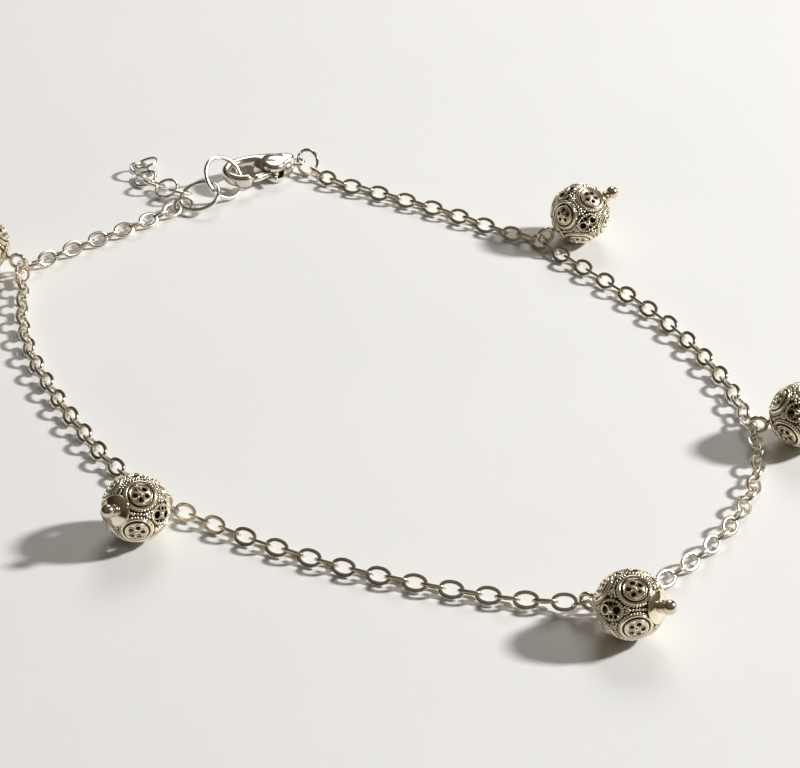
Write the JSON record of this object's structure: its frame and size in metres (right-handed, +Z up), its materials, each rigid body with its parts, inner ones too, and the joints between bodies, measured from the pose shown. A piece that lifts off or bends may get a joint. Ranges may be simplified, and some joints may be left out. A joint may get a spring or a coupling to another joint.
{
  "type": "charm anklet",
  "caption": "Fine silver cable-chain anklet with pierced filigree ball charms on head pins, a lobster clasp and a short free extender tail, lying in an open loop.",
  "frame": {"origin": "centre of the anklet's plan outline, on the surface that it lies on", "axes": "+Z up from the surface, +X to the viewer's right, +Y away from the viewer toward the clasp"},
  "size_m": [0.101, 0.096, 0.0072],
  "materials": {
    "chain": "polished silver-coloured wire with fine wear",
    "charm": "warm antique silver, dark tarnish left in the recesses",
    "clasp": "bright polished silver"
  },
  "bodies": {
    "anklet": {"chain_back": "chain", "chain_right": "chain", "chain_front_right": "chain", "chain_front": "chain", "chain_left": "chain", "chain_back_left": "chain", "link_back": "chain", "link_right": "chain", "link_front_right": "chain", "link_front_left": "chain", "link_left": "chain", "link_clasp_end": "chain", "link_extender_end": "chain", "ball_back": "charm", "ball_right": "charm", "ball_front_right": "charm", "ball_front_left": "charm", "ball_left": "charm", "pin_back": "charm", "pin_right": "charm", "pin_front_right": "charm", "pin_front_left": "charm", "pin_left": "charm", "clasp_jump_ring": "clasp", "extender_ring_1": "clasp", "extender_ring_2": "clasp", "tail_ring_1": "clasp", "tail_ring_2": "clasp", "tail_ring_3": "clasp", "tail_ring_4": "clasp", "tail_ring_5": "clasp", "tail_ring_6": "clasp", "clasp_body": "clasp"},
    "lever": {"clasp_lever": "clasp"}
  },
  "joints": [
    {"name": "lever_hinge", "type": "hinge", "parent": "anklet", "child": "lever", "pos_m": [-0.01247, 0.04337, 0.0013], "axis": [0, 0, -1], "range_deg": [0, 25], "stiffness_Nm_per_rad": 0.002, "springref_deg": -5.73}
  ]
}
